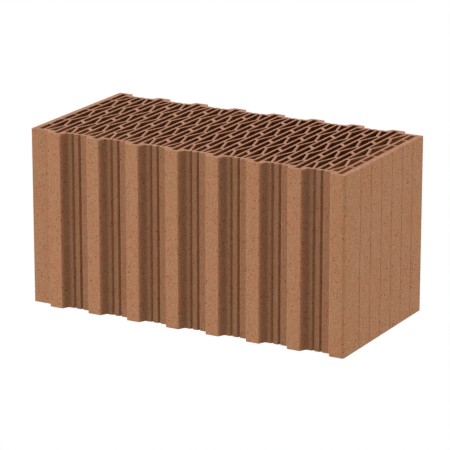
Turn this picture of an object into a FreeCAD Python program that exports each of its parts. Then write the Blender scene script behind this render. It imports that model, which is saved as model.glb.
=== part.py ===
import FreeCAD, Part
import math
import os

Vector = FreeCAD.Vector

# Driving dimensions, in millimetres and degrees.

# The whole block: X along its length, Y across its two interlocking long faces, Z between its bed faces.
block_length = 486.0
block_depth = 243.0
block_height = 249.0

# The tongues that run up both long faces, one by every second slot column. The first one's centre is measured
# from the end of the face that has no tongue, and the last one's from the end that it turns into. The last one
# stands off by its own gap, and the others are evenly spaced.
first_tongue = 41.4
last_tongue = 11.7
last_tongue_gap = 62.7
tongue_depth = 9.5
tongue_tip_width = 19.1
tongue_root_width = 29.0
tongue_tip_radius = 0.4
tongue_root_radius = 1.5

# The outer corners in plan: the last tongue turns into the end face, and the other corner is nearly sharp.
tongue_corner_radius = 4.0
recess_corner_radius = 0.4

# The pair of V-notches in each recess between two tongues, a little nearer to the one before it.
notch_width = 5.0
notch_depth = 2.8
notch_spacing = 11.0
notch_offset = 0.5

# The fine score lines up the end faces, one by each row of cross webs, a little towards the plain corner.
score_width = 1.6
score_depth = 1.4
score_offset = 1.75

# The outer walls, and the webs of fired clay between the holes. Cross webs part the slots, and end webs part
# the plain cells of the two end columns.
end_wall = 8.1
face_wall = 5.5
web = 3.4
end_web = 3.0
cross_web = 5.3
cross_web_angle = 43.0

# The zigzag webs. At each of its turns a zigzag stands off the straight web, and a slanting bridge joins them.
zigzag_web = 3.4
turn_gap = 2.1
bridge_web = 4.2
bridge_angle = 22.0

# The holes. Slot columns alternate with zigzag columns.
slot_columns = 16
cell_rows = 7
slot_width = 7.6
end_cell_width = 7.25

# Values worked out from the driving dimensions.

half_length = block_length / 2
tongue_face = block_depth / 2
recess_face = tongue_face - tongue_depth
recess_hole_end = recess_face - face_wall
tongue_hole_end = tongue_face - face_wall

first_column = -half_length + end_wall + end_cell_width / 2
column_pitch = -2 * first_column / (slot_columns - 1)
last_slot_column = slot_columns - 1

tongue_count = slot_columns // 2
tongue_pitch = (block_length - first_tongue - last_tongue - last_tongue_gap) / (tongue_count - 2)

# The rows share the depth between the recessed faces, less one cross web. Cross webs stand between the rows.
row_pitch = (2 * recess_face - cross_web) / cell_rows
first_station = -row_pitch * (cell_rows - 2) / 2


def column_x(column):
    """Centre of a slot column, counted from the -X end."""
    return first_column + column * column_pitch


def tongue_x(number):
    """Centre of a tongue of the -Y face, counted from its plain -X end."""
    if number == tongue_count - 1:
        return half_length - last_tongue
    return -half_length + first_tongue + number * tongue_pitch


def station_y(row):
    """Centre of the cross web after a row of cells, counted from the -Y face."""
    return first_station + row * row_pitch


def column_half_width(column):
    """Half the clear width of a slot column."""
    if column in (0, last_slot_column):
        return end_cell_width / 2
    return slot_width / 2


def has_front_tongue(column):
    """Whether a tongue of the -Y face stands by this slot column: one does by every second column."""
    return column % 2 == 1


def has_back_tongue(column):
    """Whether a tongue of the +Y face stands by this slot column, as half a turn puts the front ones."""
    return has_front_tongue(last_slot_column - column)


def column_ends(column):
    """Lowest and highest Y of a slot column, which runs on into a tongue where it meets one."""
    low = tongue_hole_end if has_front_tongue(column) else recess_hole_end
    high = tongue_hole_end if has_back_tongue(column) else recess_hole_end
    return -low, high


def v_groove(centre, width, depth):
    """Positions along a face and depths into it, for the three corners of a V-groove."""
    return [(centre - width / 2, 0.0), (centre, depth), (centre + width / 2, 0.0)]


def recess_notches(number):
    """Plan corners of the two notches in the -Y recess after a tongue."""
    corners = []
    for side in (-1, 1):
        centre = tongue_x(number) + tongue_pitch / 2 - notch_offset + side * notch_spacing / 2
        for along, inward in v_groove(centre, notch_width, notch_depth):
            corners.append((along, inward - recess_face, 0.0))
    return corners


def front_corners():
    """Plan corners (x, y, radius) of the -Y face, from its plain -X end to the tongue at its +X end."""
    corners = [(-half_length, -recess_face, recess_corner_radius)]
    half_tip = tongue_tip_width / 2
    half_root = tongue_root_width / 2
    for number in range(tongue_count):
        centre = tongue_x(number)
        corners.append((centre - half_root, -recess_face, tongue_root_radius))
        corners.append((centre - half_tip, -tongue_face, tongue_tip_radius))
        if number == tongue_count - 1:
            corners.append((half_length, -tongue_face, tongue_corner_radius))
        else:
            corners.append((centre + half_tip, -tongue_face, tongue_tip_radius))
            corners.append((centre + half_root, -recess_face, tongue_root_radius))
            corners += recess_notches(number)
    return corners


def end_corners():
    """Plan corners of the scored +X end face, from front to back, without the two at its ends."""
    corners = []
    for row in range(cell_rows - 1):
        for along, inward in v_groove(station_y(row) + score_offset, score_width, score_depth):
            corners.append((half_length - inward, along, 0.0))
    return corners


def block_corners():
    """Plan corners of the whole block, which is the same after half a turn about Z."""
    half = front_corners() + end_corners()
    other_half = [(-x, -y, radius) for x, y, radius in half]
    return half + other_half


def corner_arc(before, corner, after):
    """Start, middle and end of the tangent arc that rounds a corner. A sharp one gives its point thrice."""
    point = Vector(corner[0], corner[1], 0)
    radius = corner[2]
    if radius == 0:
        return point, point, point
    back = (Vector(before[0], before[1], 0) - point).normalize()
    onward = (Vector(after[0], after[1], 0) - point).normalize()
    half_angle = back.getAngle(onward) / 2
    run = radius / math.tan(half_angle)
    inset = radius / math.sin(half_angle) - radius
    bisector = (back + onward).normalize()
    return point + back * run, point + bisector * inset, point + onward * run


def rounded_wire(corners):
    """Closed wire through plan corners, with an arc at each one that has a radius."""
    count = len(corners)
    arcs = []
    for i in range(count):
        arcs.append(corner_arc(corners[i - 1], corners[i], corners[(i + 1) % count]))
    edges = []
    for i in range(count):
        start, middle, end = arcs[i]
        if corners[i][2] > 0:
            edges.append(Part.Arc(start, middle, end).toShape())
        next_start = arcs[(i + 1) % count][0]
        edges.append(Part.LineSegment(end, next_start).toShape())
    return Part.Wire(edges)


def polygon_wire(points):
    """Closed wire of straight edges through (x, y) points."""
    corners = [Vector(x, y, 0) for x, y in points]
    return Part.makePolygon(corners + corners[:1])


def clipped(points, limit, side):
    """The part of a convex polygon where side * y is at most limit."""
    kept = []
    for i in range(len(points)):
        x0, y0 = points[i - 1]
        x1, y1 = points[i]
        before = side * y0 <= limit
        inside = side * y1 <= limit
        if before != inside:
            share = (side * limit - y0) / (y1 - y0)
            kept.append((x0 + share * (x1 - x0), side * limit))
        if inside:
            kept.append((x1, y1))
    return kept


def column_cells(column):
    """The holes of one slot column, parted by cross webs: straight in the end columns, else slanting."""
    centre = column_x(column)
    half_width = column_half_width(column)
    if column in (0, last_slot_column):
        rows = range(cell_rows - 1)
        rise = 0.0
        half_web = end_web / 2
    else:
        rows = range(column % 2, cell_rows - 1, 2)
        rise = half_width * math.tan(math.radians(cross_web_angle))
        half_web = cross_web / 2 / math.cos(math.radians(cross_web_angle))
    low_end, high_end = column_ends(column)
    lows = [(low_end, low_end)]
    highs = []
    for row in rows:
        station = station_y(row)
        highs.append((station + rise - half_web, station - rise - half_web))
        lows.append((station + rise + half_web, station - rise + half_web))
    highs.append((high_end, high_end))
    left = centre - half_width
    right = centre + half_width
    cells = []
    for low, high in zip(lows, highs):
        cells.append([(left, low[0]), (right, low[1]), (right, high[1]), (left, high[0])])
    return cells


def zigzag_hole(width):
    """A hole on the left of a zigzag web, about its widest row, with X measured from the straight web."""
    # The zigzag leans so that it crosses from one gap to the other over one row, at its own thickness.
    reach = width - 2 * turn_gap
    lean = math.acos(zigzag_web / math.hypot(reach, row_pitch)) - math.atan2(row_pitch, reach)
    lean_slope = math.tan(lean)
    bridge_slope = math.tan(math.radians(bridge_angle))
    half_bridge = bridge_web / 2 / math.cos(math.radians(bridge_angle))
    bridge_drop = bridge_slope * turn_gap / 2
    # How far the zigzag's corner with each bridge lies from the turn, for the bridge below and the one above.
    below = (half_bridge - bridge_drop) / (1 + bridge_slope * lean_slope)
    above = (half_bridge + bridge_drop) / (1 - bridge_slope * lean_slope)
    return [
        (0.0, -row_pitch + half_bridge + bridge_drop),
        (turn_gap + lean_slope * below, -row_pitch + below),
        (turn_gap + lean_slope * row_pitch, 0.0),
        (turn_gap + lean_slope * above, row_pitch - above),
        (0.0, row_pitch - half_bridge + bridge_drop),
    ]


def zigzag_holes(column):
    """The holes on both sides of the zigzag web between a slot column and the next one."""
    left = column_x(column) + column_half_width(column) + web
    right = column_x(column + 1) - column_half_width(column + 1) - web
    shape = zigzag_hole(right - left)
    holes = []
    for row in range(-1, cell_rows):
        station = station_y(row)
        if (row + column) % 2:
            hole = [(right - x, station - y) for x, y in shape]
        else:
            hole = [(left + x, station + y) for x, y in shape]
        for side in (-1, 1):
            hole = clipped(hole, recess_hole_end, side)
        holes.append(hole)
    return holes


def clay_block():
    """The fired block: its plan with every hole, raised to the full height."""
    wires = [rounded_wire(block_corners())]
    for column in range(slot_columns):
        wires += [polygon_wire(cell) for cell in column_cells(column)]
    for column in range(slot_columns - 1):
        wires += [polygon_wire(hole) for hole in zigzag_holes(column)]
    plan = Part.makeFace(wires, "Part::FaceMakerBullseye")
    return plan.extrude(Vector(0, 0, block_height))


os.makedirs("parts", exist_ok=True)
block = clay_block()
block.exportStep("parts/clay_block.step")
print("clay_block:", len(block.Solids), "solid, valid", block.isValid(), "volume", block.Volume)
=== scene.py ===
"""Looks of the hollow clay block: its fired mesh, its clay finishes and the studio that it stands in."""

import math

import bmesh
import bpy
from bpy.props import FloatProperty, FloatVectorProperty, IntProperty, PointerProperty
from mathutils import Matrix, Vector
from mathutils.geometry import delaunay_2d_cdt


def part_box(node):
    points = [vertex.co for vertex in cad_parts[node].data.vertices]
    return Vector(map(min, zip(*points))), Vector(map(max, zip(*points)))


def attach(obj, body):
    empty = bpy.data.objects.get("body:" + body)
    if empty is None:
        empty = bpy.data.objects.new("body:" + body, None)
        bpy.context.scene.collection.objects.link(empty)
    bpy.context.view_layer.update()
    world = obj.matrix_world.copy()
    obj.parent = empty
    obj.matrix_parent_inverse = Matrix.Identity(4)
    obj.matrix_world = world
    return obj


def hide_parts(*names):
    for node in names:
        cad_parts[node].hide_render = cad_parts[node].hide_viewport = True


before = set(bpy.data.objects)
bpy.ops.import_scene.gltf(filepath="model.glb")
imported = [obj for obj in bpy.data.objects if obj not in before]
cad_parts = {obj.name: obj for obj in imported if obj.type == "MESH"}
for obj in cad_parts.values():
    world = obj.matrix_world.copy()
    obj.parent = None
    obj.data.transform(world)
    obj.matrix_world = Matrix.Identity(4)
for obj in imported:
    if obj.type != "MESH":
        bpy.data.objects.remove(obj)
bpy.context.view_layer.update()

bl_info = {
    "name": "Hollow clay block",
    "version": (1, 0, 0),
    "blender": (4, 5, 0),
    "location": "View3D > Sidebar > Clay block",
    "description": "Builds the fired clay block round its solid, and the studio that it is photographed in",
    "category": "Object",
}

CAD_NODE = "clay_block"
PIECE_NAME = "fired_block"

MM = 0.001
MERGE_DISTANCE = 0.001 * MM

# How near to level a face is that counts as a bed face.
LEVEL_NORMAL = 0.9
# Edges that turn more than this keep a hard shade.
HARD_EDGE = math.radians(40)
# Plan corners that turn less than this are steps of an arc, and are round already.
ARC_STEP = math.radians(25)
# Hole corners sharper than this take the longer easing.
ACUTE_CORNER = math.radians(60)

# The kind of fill that gives the triangles inside any loop.
INSIDE_TRIANGLES = 1

# The order of the block's materials.
DRAWN, GROUND, CORE = range(3)

# How far the grain's light and dark goes in red, green and blue.
GRAIN_GAINS = (1.0, 1.5, 2.3)

# A turn of the sand and the specks about each axis, so that no face of the block lies along their cells.
GRAIN_TURN = (0.6, 0.4, 0.8)
NO_TURN = (0.0, 0.0, 0.0)

# The layers of the grain: waves per metre along X, Y and Z, and how many finer octaves each one has.
SAND = ((520.0, 300.0, 520.0), 0.5)
BLOTCH = ((75.0, 75.0, 75.0), 3.0)
DRIFT = ((42.0, 42.0, 20.0), 2.0)
DRAG = ((420.0, 420.0, 5.0), 2.0)
NOISE_MEAN = 0.5

# How strongly the layers show in the clay's shade.
SAND_SHADE = 0.47
BLOTCH_SHADE = 0.14
DRAG_SHADE = 0.07
# How far the drift goes to either side before the clay is wholly pale or wholly warm.
DRIFT_REACH = 0.15
# How high the layers stand, and how deep a speck's pit is, beside the depth of a material's relief.
SAND_HEIGHT = 0.5
DRAG_HEIGHT = 0.3
PIT_DEPTH = 0.8

# The specks: the scale of their pattern along each axis, the least size and the spread of sizes beside the
# radius that is set, and the share of a speck's radius that is wholly dark.
SPECK_STRETCH = (1.0, 0.55, 1.0)
LEAST_SPECK = 0.4
SPECK_SPREAD = 0.8
SPECK_HEART = 0.6
# How dark the fine specks are beside the coarse ones.
FINE_STRENGTH = 0.8

# How much gloss the clay has.
CLAY_SPECULAR = 0.25

# Painted shade on the outer walls: their tone in the recesses, and the painted light added to it on the
# tongues and near the ends.
RECESS_PAINTED_SHADE = 0.86
TONGUE_PAINTED_LIGHT = 0.21
END_PAINTED_LIGHT = 0.165

# The share of painted light in hole walls close behind the front, and towards the -X end: lighter clay over
# the painted dark shade of the hole walls.
FRONT_PAINTED_LIGHT = 0.42
LEFT_PAINTED_LIGHT = 0.11

# Where the painted shade and light change: how far in from an outer face a change starts, and how far in it
# is whole. A distance below 0 is past the face.
TONGUE_FADE = (4.5 * MM, 0.3 * MM)
END_FADE = (28.0 * MM, 25.0 * MM)
CORE_END_FADE = (55.0 * MM, -1.5 * MM)
CORE_FRONT_FADE = (71.5 * MM, 9.5 * MM)
CORE_LEFT_FADE = (363.0 * MM, 103.0 * MM)

# The colour sockets of a Mix node, which share their names with its other kinds of socket.
MIX_FIRST, MIX_SECOND, MIX_RESULT = 6, 7, 2

# The strip lights round the block: azimuth from the front in degrees, and brightness.
STRIP_LIGHTS = {
    "left": (-72.0, 0.712),
    "left_front": (-56.0, 0.083),
    "front_left": (-40.0, 0.338),
    "right_front": (65.0, 0.100),
    "right": (92.0, 0.412),
    "back": (180.0, 0.700),
}

WHITE = (1.0, 1.0, 1.0, 1.0)
BLACK = (0.0, 0.0, 0.0, 1.0)


def length_property(name, description, default):
    """A length in metres that the sidebar shows with its unit."""
    return FloatProperty(
        name=name, description=description, default=default, min=0.0,
        precision=5, subtype="DISTANCE", unit="LENGTH",
    )


def place_property(name, description, default):
    """A place in metres."""
    return FloatVectorProperty(
        name=name, description=description, default=default, size=3, subtype="TRANSLATION", unit="LENGTH",
    )


def count_property(name, description, default):
    """A number of like things, at least one."""
    return IntProperty(name=name, description=description, default=default, min=1)


def angle_property(name, description, degrees):
    """An angle that the sidebar shows with its unit."""
    return FloatProperty(
        name=name, description=description, default=math.radians(degrees), subtype="ANGLE", unit="ROTATION",
    )


def colour_property(name, description, default):
    """A linear colour."""
    return FloatVectorProperty(
        name=name, description=description, default=default, size=3, min=0.0, max=1.0, subtype="COLOR",
    )


def strength_property(name, description, default):
    """A brightness beside that of a plain white room."""
    return FloatProperty(name=name, description=description, default=default, min=0.0)


class ClayBlockShape(bpy.types.PropertyGroup):
    """Easings that drawn and ground clay has, finer than the block's solid."""

    arris_radius: length_property("Arris radius", "Rounding between a bed face and any wall", 0.35 * MM)
    arris_rings: count_property("Arris rings", "Faces across the arris rounding", 3)
    support_band: length_property("Support band", "Strip of wall kept beside each arris", 1.5 * MM)
    shortest_side: length_property("Shortest side", "Shorter sides of a hole close up to a corner", 0.6 * MM)
    hole_easing: length_property("Hole easing", "Run of the rounding at a hole's other corners", 0.9 * MM)
    acute_easing: length_property("Acute easing", "Run of the rounding at a hole's sharp corners", 1.8 * MM)
    lip_easing: length_property("Lip easing", "Run of the rounding at lips and roots of grooves", 0.35 * MM)
    corner_steps: count_property("Corner steps", "Faces round each eased corner", 3)


class ClayFinish(bpy.types.PropertyGroup):
    """Colours and grain of the fired clay, and the painted shade and light of its hole walls."""

    drawn_warm: colour_property("Drawn, warm", "Outer walls where the clay is warmer", (0.398, 0.180, 0.088))
    drawn_pale: colour_property("Drawn, pale", "Outer walls where the clay is paler", (0.388, 0.188, 0.093))
    ground_warm: colour_property("Ground, warm", "Bed faces where the clay is warmer", (0.440, 0.210, 0.125))
    ground_pale: colour_property("Ground, pale", "Bed faces where the clay is paler", (0.440, 0.221, 0.137))
    # The hole walls' colours are painted shade and painted light: dark deep in the holes, where shade falls,
    # and lighter where light reaches near the +X end, the front and the left.
    core_painted_shade: colour_property("Core, painted shade", "Hole walls deep in the block", (0.150, 0.0360, 0.0060))
    core_painted_light: colour_property("Core, painted light", "Hole walls behind the outer faces", (0.58, 0.275, 0.115))
    speck: colour_property("Speck", "Dark mineral grains", (0.150, 0.030, 0.003))
    speck_share: FloatProperty(
        name="Speck share", description="Share of the clay's cells that hold a speck", default=0.80,
        min=0.0, max=1.0, subtype="FACTOR",
    )
    coarse_spacing: length_property("Coarse spacing", "Width of the cells of coarse specks", 4.0 * MM)
    coarse_radius: length_property("Coarse radius", "Radius of a coarse speck of middling size", 0.93 * MM)
    fine_spacing: length_property("Fine spacing", "Width of the cells of fine specks", 2.6 * MM)
    fine_radius: length_property("Fine radius", "Radius of a fine speck of middling size", 0.62 * MM)


class StudioSettings(bpy.types.PropertyGroup):
    """Camera and lights of the studio."""

    camera_place: place_property("Camera place", "Where the camera stands", (1.79610, -3.22540, 1.21174))
    camera_tilt: angle_property("Camera tilt", "How far the camera looks down", 16.520)
    camera_turn: angle_property("Camera turn", "How far the camera stands round to the right", 29.142)
    lens: FloatProperty(name="Lens", description="Focal length in millimetres", default=223.97, min=1.0)
    sensor: FloatProperty(name="Sensor", description="Sensor width in millimetres", default=36.0, min=1.0)
    floor_reach: length_property("Floor reach", "Half the width of the floor", 30.0)
    floor_gap: length_property("Floor gap", "How far the floor lies under the block", 0.3 * MM)
    light_distance: length_property("Light distance", "How far the soft lights stand off", 8.0)
    light_target: place_property("Light target", "Where the soft lights look", (0.0, 0.0, 0.12))
    light_strength: strength_property("Light strength", "Brightness of all the soft lights", 1.0)
    strip_elevation: angle_property("Strip elevation", "How high the strip lights stand", 3.0)
    strip_width: length_property("Strip width", "Width of a strip light", 3.0)
    strip_height: length_property("Strip height", "Height of a strip light", 0.8)
    overhead_elevation: angle_property("Overhead elevation", "How high the overhead light stands", 88.0)
    overhead_width: length_property("Overhead width", "Width of the square overhead light", 4.0)
    overhead_strength: strength_property("Overhead strength", "Brightness of the overhead light", 0.680)
    ambient: strength_property("Ambient", "Brightness of the room itself", 0.339)


def add_node(tree, kind, **settings):
    """A new node of a tree, with its settings."""
    made = tree.nodes.new(kind)
    for name, value in settings.items():
        setattr(made, name, value)
    return made


def calculate(tree, operation, first, second=None, third=None):
    """The output of a maths node whose inputs are sockets or numbers."""
    maths = add_node(tree, "ShaderNodeMath", operation=operation)
    for socket, value in zip(maths.inputs, (first, second, third)):
        if value is None:
            continue
        if isinstance(value, bpy.types.NodeSocket):
            tree.links.new(value, socket)
        else:
            socket.default_value = value
    return maths.outputs[0]


def stretched(tree, vector, scale, turn=NO_TURN):
    """A vector scaled by its own amount along each axis, then turned."""
    mapping = add_node(tree, "ShaderNodeMapping")
    mapping.inputs["Scale"].default_value = scale
    mapping.inputs["Rotation"].default_value = turn
    tree.links.new(vector, mapping.inputs["Vector"])
    return mapping.outputs["Vector"]


def grain_layer(tree, vector, layer, turn=NO_TURN):
    """One layer of the grain: a noise about 0."""
    waves, octaves = layer
    texture = add_node(tree, "ShaderNodeTexNoise")
    texture.inputs["Scale"].default_value = 1.0
    texture.inputs["Detail"].default_value = octaves
    tree.links.new(stretched(tree, vector, waves, turn), texture.inputs["Vector"])
    return calculate(tree, "SUBTRACT", texture.outputs["Fac"], NOISE_MEAN)


def smooth_step(tree, value, low, high):
    """A value that eases from 0 at low to 1 at high."""
    step = add_node(tree, "ShaderNodeMapRange", interpolation_type="SMOOTHSTEP")
    tree.links.new(value, step.inputs["Value"])
    for name, limit in (("From Min", low), ("From Max", high)):
        if isinstance(limit, bpy.types.NodeSocket):
            tree.links.new(limit, step.inputs[name])
        else:
            step.inputs[name].default_value = limit
    return step.outputs["Result"]


def towards_face(tree, coordinate, face, fade):
    """A value that eases from 0 to 1 towards an outer face, between two distances in from it."""
    start, end = fade
    inwards = -math.copysign(1.0, face)
    return smooth_step(tree, coordinate, face + inwards * start, face + inwards * end)


def mixed(tree, share, first, second):
    """A colour between two others, which are sockets or colours."""
    mix = add_node(tree, "ShaderNodeMix", data_type="RGBA")
    tree.links.new(share, mix.inputs["Factor"])
    for index, colour in ((MIX_FIRST, first), (MIX_SECOND, second)):
        if isinstance(colour, bpy.types.NodeSocket):
            tree.links.new(colour, mix.inputs[index])
        else:
            mix.inputs[index].default_value = (*colour, 1.0)
    return mix.outputs[MIX_RESULT]


def new_group(name, inputs, outputs):
    """A shader node group with named sockets, and its input and output nodes."""
    group = bpy.data.node_groups.new(name, "ShaderNodeTree")
    for socket_name, kind in inputs:
        group.interface.new_socket(socket_name, in_out="INPUT", socket_type=kind)
    for socket_name, kind in outputs:
        group.interface.new_socket(socket_name, in_out="OUTPUT", socket_type=kind)
    entry = add_node(group, "NodeGroupInput")
    exit_node = add_node(group, "NodeGroupOutput")
    return group, entry.outputs, exit_node.inputs


def speck_group():
    """Round grains of varied size, scattered through the clay and cut by its surface."""
    group, given, result = new_group(
        "Clay specks",
        [("Vector", "NodeSocketVector"), ("Cells per metre", "NodeSocketFloat"),
         ("Share", "NodeSocketFloat"), ("Radius", "NodeSocketFloat")],
        [("Mask", "NodeSocketFloat")],
    )
    cells = add_node(group, "ShaderNodeTexVoronoi")
    laid = stretched(group, given["Vector"], SPECK_STRETCH, GRAIN_TURN)
    group.links.new(laid, cells.inputs["Vector"])
    group.links.new(given["Cells per metre"], cells.inputs["Scale"])
    draws = add_node(group, "ShaderNodeSeparateColor")
    group.links.new(cells.outputs["Color"], draws.inputs["Color"])
    distance = calculate(group, "DIVIDE", cells.outputs["Distance"], given["Cells per metre"])
    size = calculate(group, "MULTIPLY_ADD", draws.outputs["Green"], SPECK_SPREAD, LEAST_SPECK)
    radius = calculate(group, "MULTIPLY", size, given["Radius"])
    heart = calculate(group, "MULTIPLY", radius, SPECK_HEART)
    round_grain = smooth_step(group, distance, radius, heart)
    present = calculate(group, "LESS_THAN", draws.outputs["Red"], given["Share"])
    mask = calculate(group, "MULTIPLY", round_grain, present)
    group.links.new(mask, result["Mask"])
    return group


def grain_group():
    """The grain that all the fired clay shares: a shade about 0, a drift of warmth, and a height."""
    group, given, result = new_group(
        "Clay grain",
        [("Vector", "NodeSocketVector"), ("Mottle", "NodeSocketFloat"), ("Drag", "NodeSocketFloat")],
        [("Shade", "NodeSocketFloat"), ("Warmth", "NodeSocketFloat"), ("Height", "NodeSocketFloat")],
    )
    vector = given["Vector"]
    sand = grain_layer(group, vector, SAND, GRAIN_TURN)
    blotch = grain_layer(group, vector, BLOTCH)
    drift = grain_layer(group, vector, DRIFT)
    drag = calculate(group, "MULTIPLY", grain_layer(group, vector, DRAG), given["Drag"])
    blotches = calculate(group, "MULTIPLY", blotch, BLOTCH_SHADE)
    spots = calculate(group, "MULTIPLY_ADD", sand, SAND_SHADE, blotches)
    streaks = calculate(group, "MULTIPLY", drag, DRAG_SHADE)
    group.links.new(calculate(group, "MULTIPLY_ADD", spots, given["Mottle"], streaks), result["Shade"])
    group.links.new(smooth_step(group, drift, -DRIFT_REACH, DRIFT_REACH), result["Warmth"])
    ridges = calculate(group, "MULTIPLY", drag, DRAG_HEIGHT)
    group.links.new(calculate(group, "MULTIPLY_ADD", sand, SAND_HEIGHT, ridges), result["Height"])
    return group


class ClayMaterial:
    """One clay material: its tree, its object coordinates, and the shared grain and specks placed in it."""

    def __init__(self, name, groups, mottle, drag):
        self.material = bpy.data.materials.new(name)
        self.material.use_nodes = True
        self.tree = self.material.node_tree
        self.shader = self.tree.nodes["Principled BSDF"]
        self.vector = add_node(self.tree, "ShaderNodeTexCoord").outputs["Object"]
        self.speck_tree = groups["specks"]
        self.grain = add_node(self.tree, "ShaderNodeGroup", node_tree=groups["grain"])
        self.grain.inputs["Mottle"].default_value = mottle
        self.grain.inputs["Drag"].default_value = drag
        self.tree.links.new(self.vector, self.grain.inputs["Vector"])

    def specks(self, spacing, share, radius):
        """The mask of one size of specks: the cells' spacing, the share that hold one, and the radius."""
        placed = add_node(self.tree, "ShaderNodeGroup", node_tree=self.speck_tree)
        placed.inputs["Cells per metre"].default_value = 1.0 / spacing
        placed.inputs["Share"].default_value = share
        placed.inputs["Radius"].default_value = radius
        self.tree.links.new(self.vector, placed.inputs["Vector"])
        return placed.outputs["Mask"]

    def place(self):
        """The X and Y of a point of the clay."""
        parts = add_node(self.tree, "ShaderNodeSeparateXYZ")
        self.tree.links.new(self.vector, parts.inputs["Vector"])
        return parts.outputs["X"], parts.outputs["Y"]

    def shaded(self, colour):
        """A colour with the grain's light and dark in it, stronger in its green and blue."""
        gains = add_node(self.tree, "ShaderNodeVectorMath", operation="MULTIPLY_ADD")
        self.tree.links.new(self.grain.outputs["Shade"], gains.inputs[0])
        gains.inputs[1].default_value = GRAIN_GAINS
        gains.inputs[2].default_value = (1.0, 1.0, 1.0)
        product = add_node(self.tree, "ShaderNodeVectorMath", operation="MULTIPLY")
        self.tree.links.new(colour, product.inputs[0])
        self.tree.links.new(gains.outputs["Vector"], product.inputs[1])
        return product.outputs["Vector"]

    def finish(self, colour, height, roughness, depth):
        """Join the colour and the relief to the shader."""
        self.tree.links.new(colour, self.shader.inputs["Base Color"])
        bump = add_node(self.tree, "ShaderNodeBump")
        bump.inputs["Strength"].default_value = 1.0
        bump.inputs["Distance"].default_value = depth
        self.tree.links.new(height, bump.inputs["Height"])
        self.tree.links.new(bump.outputs["Normal"], self.shader.inputs["Normal"])
        self.shader.inputs["Roughness"].default_value = roughness
        self.shader.inputs["Specular IOR Level"].default_value = CLAY_SPECULAR
        return self.material


def speckled(clay, colour, finish, strength):
    """A colour with coarse and fine dark specks, and the height with their pits."""
    coarse = clay.specks(finish.coarse_spacing, finish.speck_share, finish.coarse_radius)
    fine = clay.specks(finish.fine_spacing, finish.speck_share, finish.fine_radius)
    for mask, darkness in ((coarse, strength), (fine, strength * FINE_STRENGTH)):
        colour = mixed(clay.tree, calculate(clay.tree, "MULTIPLY", mask, darkness), colour, finish.speck)
    pits = calculate(clay.tree, "MULTIPLY", coarse, -PIT_DEPTH)
    height = calculate(clay.tree, "ADD", clay.grain.outputs["Height"], pits)
    return colour, height


def drawn_clay(finish, groups, high):
    """The outer walls, as the die drew them, with painted shade: darker in the recesses, where the tongues
    shade them, and lighter on the tongues and the ends.
    """
    clay = ClayMaterial("drawn clay with painted recess shade", groups, mottle=1.0, drag=1.0)
    body = mixed(clay.tree, clay.grain.outputs["Warmth"], finish.drawn_pale, finish.drawn_warm)
    x, y = clay.place()
    tongue_light_mask = towards_face(clay.tree, calculate(clay.tree, "ABSOLUTE", y), high.y, TONGUE_FADE)
    end_light_mask = towards_face(clay.tree, calculate(clay.tree, "ABSOLUTE", x), high.x, END_FADE)
    tongue_light_gain = calculate(clay.tree, "MULTIPLY", tongue_light_mask, TONGUE_PAINTED_LIGHT)
    end_light_gain = calculate(clay.tree, "MULTIPLY", end_light_mask, END_PAINTED_LIGHT)
    gain = calculate(clay.tree, "MAXIMUM", tongue_light_gain, end_light_gain)
    shade_painted = add_node(clay.tree, "ShaderNodeVectorMath", operation="SCALE")
    clay.tree.links.new(body, shade_painted.inputs[0])
    clay.tree.links.new(calculate(clay.tree, "ADD", gain, RECESS_PAINTED_SHADE), shade_painted.inputs["Scale"])
    colour, height = speckled(clay, clay.shaded(shade_painted.outputs["Vector"]), finish, strength=0.95)
    return clay.finish(colour, height, roughness=0.9, depth=0.12 * MM)


def ground_clay(finish, groups):
    """The bed faces, ground flat after firing."""
    clay = ClayMaterial("ground clay", groups, mottle=1.2, drag=0.0)
    body = mixed(clay.tree, clay.grain.outputs["Warmth"], finish.ground_pale, finish.ground_warm)
    colour, height = speckled(clay, clay.shaded(body), finish, strength=0.8)
    return clay.finish(colour, height, roughness=0.95, depth=0.10 * MM)


def core_clay(finish, groups, low, high):
    """The hole walls, with painted shade and light: dark within the block, and lighter by its +X end, by its
    front and to the left.
    """
    clay = ClayMaterial("core clay with painted shade", groups, mottle=1.0, drag=1.0)
    x, y = clay.place()
    core_end_light = towards_face(clay.tree, x, high.x, CORE_END_FADE)
    core_front_light = towards_face(clay.tree, y, low.y, CORE_FRONT_FADE)
    core_left_light = towards_face(clay.tree, x, low.x, CORE_LEFT_FADE)
    share = calculate(clay.tree, "MULTIPLY_ADD", core_front_light, FRONT_PAINTED_LIGHT, core_end_light)
    share = calculate(clay.tree, "MULTIPLY_ADD", core_left_light, LEFT_PAINTED_LIGHT, share)
    body = mixed(clay.tree, share, finish.core_painted_shade, finish.core_painted_light)
    colour, height = speckled(clay, clay.shaded(body), finish, strength=0.3)
    return clay.finish(colour, height, roughness=0.95, depth=0.12 * MM)


def bed_outlines(cad_mesh):
    """The edges round the lower bed face alone: the block's outline, and a loop for each hole."""
    plan = bmesh.new()
    plan.from_mesh(cad_mesh)
    bmesh.ops.remove_doubles(plan, verts=plan.verts, dist=MERGE_DISTANCE)
    for face in plan.faces:
        face.tag = face.normal.z < -LEVEL_NORMAL
    spare_edges = [edge for edge in plan.edges if sum(face.tag for face in edge.link_faces) != 1]
    bmesh.ops.delete(plan, geom=spare_edges, context="EDGES_FACES")
    spare_corners = [corner for corner in plan.verts if not corner.link_edges]
    bmesh.ops.delete(plan, geom=spare_corners, context="VERTS")
    return plan


def corner_angle(corner):
    """The angle between the two edges that meet at a plan corner."""
    first, second = [edge.other_vert(corner).co - corner.co for edge in corner.link_edges]
    return first.angle(second)


def ease_corners(plan, corners, run, steps):
    """Round plan corners, each over the same run along its two sides."""
    bmesh.ops.bevel(
        plan, geom=corners, offset=run, offset_type="OFFSET", segments=steps, profile=0.5,
        affect="VERTICES", material=-1, clamp_overlap=False,
    )


def largest(sheets):
    """The sheet with the largest area, which is the one inside the block's outline."""
    return max(sheets, key=lambda sheet: sheet.calc_area())


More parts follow.
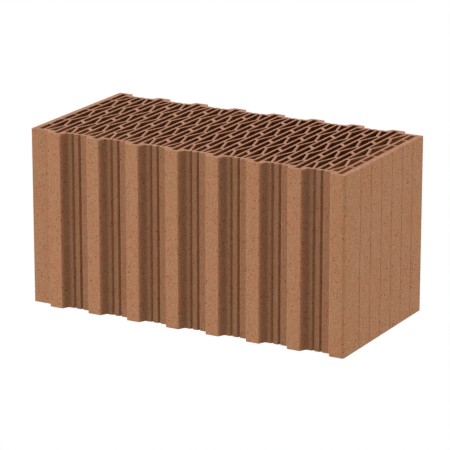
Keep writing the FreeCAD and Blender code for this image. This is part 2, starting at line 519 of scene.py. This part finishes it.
def eased_plan(cad_mesh, shape):
    """The plan of the block as one sheet of faces, with eased corners. The corners of holes are marked."""
    plan = bed_outlines(cad_mesh)
    in_hole = plan.verts.layers.int.new("hole")
    bmesh.ops.edgeloop_fill(plan, edges=plan.edges[:])
    outline = largest(plan.faces)
    hole_corners = [corner for sheet in plan.faces if sheet is not outline for corner in sheet.verts]
    bmesh.ops.remove_doubles(plan, verts=hole_corners, dist=shape.shortest_side)
    outline = largest(plan.faces)
    lips = [corner for corner in outline.verts if math.pi - corner_angle(corner) > ARC_STEP]
    hole_corners = [corner for sheet in plan.faces if sheet is not outline for corner in sheet.verts]
    acute = [corner for corner in hole_corners if corner_angle(corner) < ACUTE_CORNER]
    others = [corner for corner in hole_corners if corner_angle(corner) >= ACUTE_CORNER]
    ease_corners(plan, lips, shape.lip_easing, shape.corner_steps)
    ease_corners(plan, acute, shape.acute_easing, shape.corner_steps)
    ease_corners(plan, others, shape.hole_easing, shape.corner_steps)
    outline = largest(plan.faces)
    for sheet in plan.faces:
        for corner in sheet.verts:
            corner[in_hole] = sheet is not outline
    fill_clay(plan)
    return plan


def fill_clay(plan):
    """Fill the clay between the outline and the holes. The fill operator loses some of so many holes."""
    bmesh.ops.reverse_faces(plan, faces=[sheet for sheet in plan.faces if sheet.normal.z < 0.0])
    plan.verts.index_update()
    plan.verts.ensure_lookup_table()
    places = [corner.co.xy for corner in plan.verts]
    loops = [[corner.index for corner in sheet.verts] for sheet in plan.faces]
    bmesh.ops.delete(plan, geom=plan.faces[:], context="FACES_ONLY")
    filled = delaunay_2d_cdt(places, [], loops, INSIDE_TRIANGLES, MERGE_DISTANCE)
    _places, _edges, triangles, place_sources, _edge_sources, loops_round = filled
    for triangle, around in zip(triangles, loops_round):
        # A triangle within a hole lies inside two loops, the hole's and the outline.
        if len(around) == 1:
            plan.faces.new([plan.verts[place_sources[place][0]] for place in triangle])


def raised(block, sheet, rise):
    """Draw a sheet of faces upwards, and return the sheet at its new height."""
    edges = list({edge for face in sheet for edge in face.edges})
    drawn = bmesh.ops.extrude_face_region(block, geom=sheet + edges)["geom"]
    corners = [part for part in drawn if isinstance(part, bmesh.types.BMVert)]
    bmesh.ops.translate(block, verts=corners, vec=(0.0, 0.0, rise))
    return [part for part in drawn if isinstance(part, bmesh.types.BMFace)]


def ease_arris(block, sheet, shape, upwards):
    """Round the rims of a bed face, in rings of faces up a quarter circle."""
    rings = shape.arris_rings
    radius = shape.arris_radius
    for ring in range(rings):
        low = math.radians(90) * ring / rings
        high = math.radians(90) * (ring + 1) / rings
        inward = radius * (math.cos(low) - math.cos(high))
        climb = radius * (math.sin(high) - math.sin(low))
        bmesh.ops.inset_region(block, faces=sheet, thickness=inward, use_even_offset=True)
        corners = list({corner for face in sheet for corner in face.verts})
        bmesh.ops.translate(block, verts=corners, vec=(0.0, 0.0, upwards * climb))


def paint_faces(block):
    """Give each face its clay: ground on the bed faces, core in the holes, drawn on the outer walls.

    The steeper rings of an arris take the clay of their wall.
    """
    in_hole = block.verts.layers.int["hole"]
    for face in block.faces:
        face.smooth = True
        if abs(face.normal.z) > LEVEL_NORMAL:
            face.material_index = GROUND
        elif face.verts[0][in_hole]:
            face.material_index = CORE
        else:
            face.material_index = DRAWN


def harden_edges(block):
    """Keep a hard shade at the rim of each bed face and at sharp edges."""
    for edge in block.edges:
        levels = [abs(face.normal.z) > LEVEL_NORMAL for face in edge.link_faces]
        rim = any(levels) and not all(levels)
        edge.smooth = not rim and edge.calc_face_angle(0.0) < HARD_EDGE


def fired_block_mesh(cad_mesh, shape, height):
    """The mesh of the fired block, drawn up from its plan."""
    block = eased_plan(cad_mesh, shape)
    lower_sheet = block.faces[:]
    bmesh.ops.translate(block, verts=block.verts, vec=(0.0, 0.0, shape.arris_radius))
    middle = height - 2 * shape.arris_radius - 2 * shape.support_band
    upper_sheet = lower_sheet
    for rise in (shape.support_band, middle, shape.support_band):
        upper_sheet = raised(block, upper_sheet, rise)
    bmesh.ops.recalc_face_normals(block, faces=block.faces)
    ease_arris(block, upper_sheet, shape, 1)
    ease_arris(block, lower_sheet, shape, -1)
    block.normal_update()
    paint_faces(block)
    harden_edges(block)
    open_edges = [edge for edge in block.edges if not edge.is_manifold]
    if open_edges:
        raise RuntimeError("The fired block has %d open edges" % len(open_edges))
    mesh = bpy.data.meshes.new(PIECE_NAME)
    block.to_mesh(mesh)
    block.free()
    return mesh


class CLAY_OT_fired_block(bpy.types.Operator):
    """Build the fired block from the plan of its solid, with eased edges and its clay finishes"""

    bl_idname = "clay.fired_block"
    bl_label = "Fired block"

    def execute(self, context):
        shape = context.scene.clay_shape
        finish = context.scene.clay_finish
        low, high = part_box(CAD_NODE)
        mesh = fired_block_mesh(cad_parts[CAD_NODE].data, shape, high.z - low.z)
        groups = {"specks": speck_group(), "grain": grain_group()}
        mesh.materials.append(drawn_clay(finish, groups, high))
        mesh.materials.append(ground_clay(finish, groups))
        mesh.materials.append(core_clay(finish, groups, low, high))
        piece = bpy.data.objects.new(PIECE_NAME, mesh)
        context.scene.collection.objects.link(piece)
        shading = piece.modifiers.new("Flat walls", "WEIGHTED_NORMAL")
        shading.keep_sharp = True
        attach(piece, "root")
        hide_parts(CAD_NODE)
        return {"FINISHED"}


def studio_floor(studio):
    """A wide floor just under the block, lit from within to pure white, that throws no light back."""
    sheet = bmesh.new()
    bmesh.ops.create_grid(sheet, x_segments=1, y_segments=1, size=studio.floor_reach)
    bmesh.ops.translate(sheet, verts=sheet.verts, vec=(0.0, 0.0, -studio.floor_gap))
    mesh = bpy.data.meshes.new("studio_floor")
    sheet.to_mesh(mesh)
    sheet.free()
    material = bpy.data.materials.new("white floor")
    material.use_nodes = True
    shader = material.node_tree.nodes["Principled BSDF"]
    shader.inputs["Base Color"].default_value = BLACK
    shader.inputs["Roughness"].default_value = 1.0
    shader.inputs["Specular IOR Level"].default_value = 0.0
    shader.inputs["Emission Color"].default_value = WHITE
    shader.inputs["Emission Strength"].default_value = 1.0
    mesh.materials.append(material)
    floor = bpy.data.objects.new("studio_floor", mesh)
    floor.visible_diffuse = False
    floor.visible_glossy = False
    floor.visible_shadow = False
    return floor


def soft_light(name, studio, azimuth, elevation, size, brightness):
    """An area light, bright enough at its distance to give a white card its brightness."""
    light = bpy.data.lights.new(name, "AREA")
    light.shape = "RECTANGLE"
    light.size, light.size_y = size
    light.energy = studio.light_strength * brightness * (math.pi * studio.light_distance) ** 2
    lamp = bpy.data.objects.new(name, light)
    level = math.cos(elevation)
    away = Vector((math.sin(azimuth) * level, -math.cos(azimuth) * level, math.sin(elevation)))
    lamp.location = Vector(studio.light_target) + studio.light_distance * away
    lamp.rotation_euler = away.to_track_quat("Z", "Y").to_euler()
    lamp.visible_camera = False
    return lamp


def studio_lights(studio):
    """The strip lights round the block, and the square light overhead."""
    strip = (studio.strip_width, studio.strip_height)
    square = (studio.overhead_width, studio.overhead_width)
    lamps = []
    for name, (degrees, brightness) in STRIP_LIGHTS.items():
        azimuth = math.radians(degrees)
        lamps.append(soft_light(name, studio, azimuth, studio.strip_elevation, strip, brightness))
    lamps.append(soft_light(
        "overhead", studio, 0.0, studio.overhead_elevation, square, studio.overhead_strength,
    ))
    return lamps


def white_room(ambient):
    """A world that gives an even light, and that the camera sees as pure white."""
    world = bpy.data.worlds.new("white_room")
    world.use_nodes = True
    tree = world.node_tree
    room = tree.nodes["Background"]
    room.inputs["Color"].default_value = WHITE
    seen = add_node(tree, "ShaderNodeLightPath").outputs["Is Camera Ray"]
    strength = add_node(tree, "ShaderNodeMapRange")
    strength.inputs["To Min"].default_value = ambient
    strength.inputs["To Max"].default_value = 1.0
    tree.links.new(seen, strength.inputs["Value"])
    tree.links.new(strength.outputs["Result"], room.inputs["Strength"])
    return world


def studio_camera(studio):
    """The camera at the photograph's viewpoint."""
    data = bpy.data.cameras.new("studio_camera")
    data.sensor_width = studio.sensor
    data.lens = studio.lens
    camera = bpy.data.objects.new("studio_camera", data)
    camera.location = studio.camera_place
    camera.rotation_euler = (math.radians(90) - studio.camera_tilt, 0.0, studio.camera_turn)
    return camera


class CLAY_OT_studio(bpy.types.Operator):
    """Set the white studio round the block: floor, room light, soft lights and camera"""

    bl_idname = "clay.studio"
    bl_label = "Studio"

    def execute(self, context):
        scene = context.scene
        studio = scene.clay_studio
        floor = studio_floor(studio)
        camera = studio_camera(studio)
        for item in (floor, camera, *studio_lights(studio)):
            scene.collection.objects.link(item)
        scene.world = white_room(studio.ambient)
        scene.camera = camera
        scene.view_settings.view_transform = "Standard"
        return {"FINISHED"}


class VIEW3D_PT_clay_block(bpy.types.Panel):
    """Sizes, colours and steps of the clay block"""

    bl_label = "Hollow clay block"
    bl_idname = "VIEW3D_PT_clay_block"
    bl_space_type = "VIEW_3D"
    bl_region_type = "UI"
    bl_category = "Clay block"

    def draw(self, context):
        for settings in (context.scene.clay_shape, context.scene.clay_finish, context.scene.clay_studio):
            box = self.layout.box()
            for name in settings.__annotations__:
                box.prop(settings, name)
        self.layout.operator(CLAY_OT_fired_block.bl_idname)
        self.layout.operator(CLAY_OT_studio.bl_idname)


CLASSES = (
    ClayBlockShape, ClayFinish, StudioSettings,
    CLAY_OT_fired_block, CLAY_OT_studio, VIEW3D_PT_clay_block,
)


def register():
    for kind in CLASSES:
        bpy.utils.register_class(kind)
    bpy.types.Scene.clay_shape = PointerProperty(type=ClayBlockShape)
    bpy.types.Scene.clay_finish = PointerProperty(type=ClayFinish)
    bpy.types.Scene.clay_studio = PointerProperty(type=StudioSettings)


def unregister():
    del bpy.types.Scene.clay_studio
    del bpy.types.Scene.clay_finish
    del bpy.types.Scene.clay_shape
    for kind in reversed(CLASSES):
        bpy.utils.unregister_class(kind)


def main():
    """Build the block and its studio."""
    register()
    bpy.ops.clay.fired_block()
    bpy.ops.clay.studio()


if __name__ == "__main__":
    main()
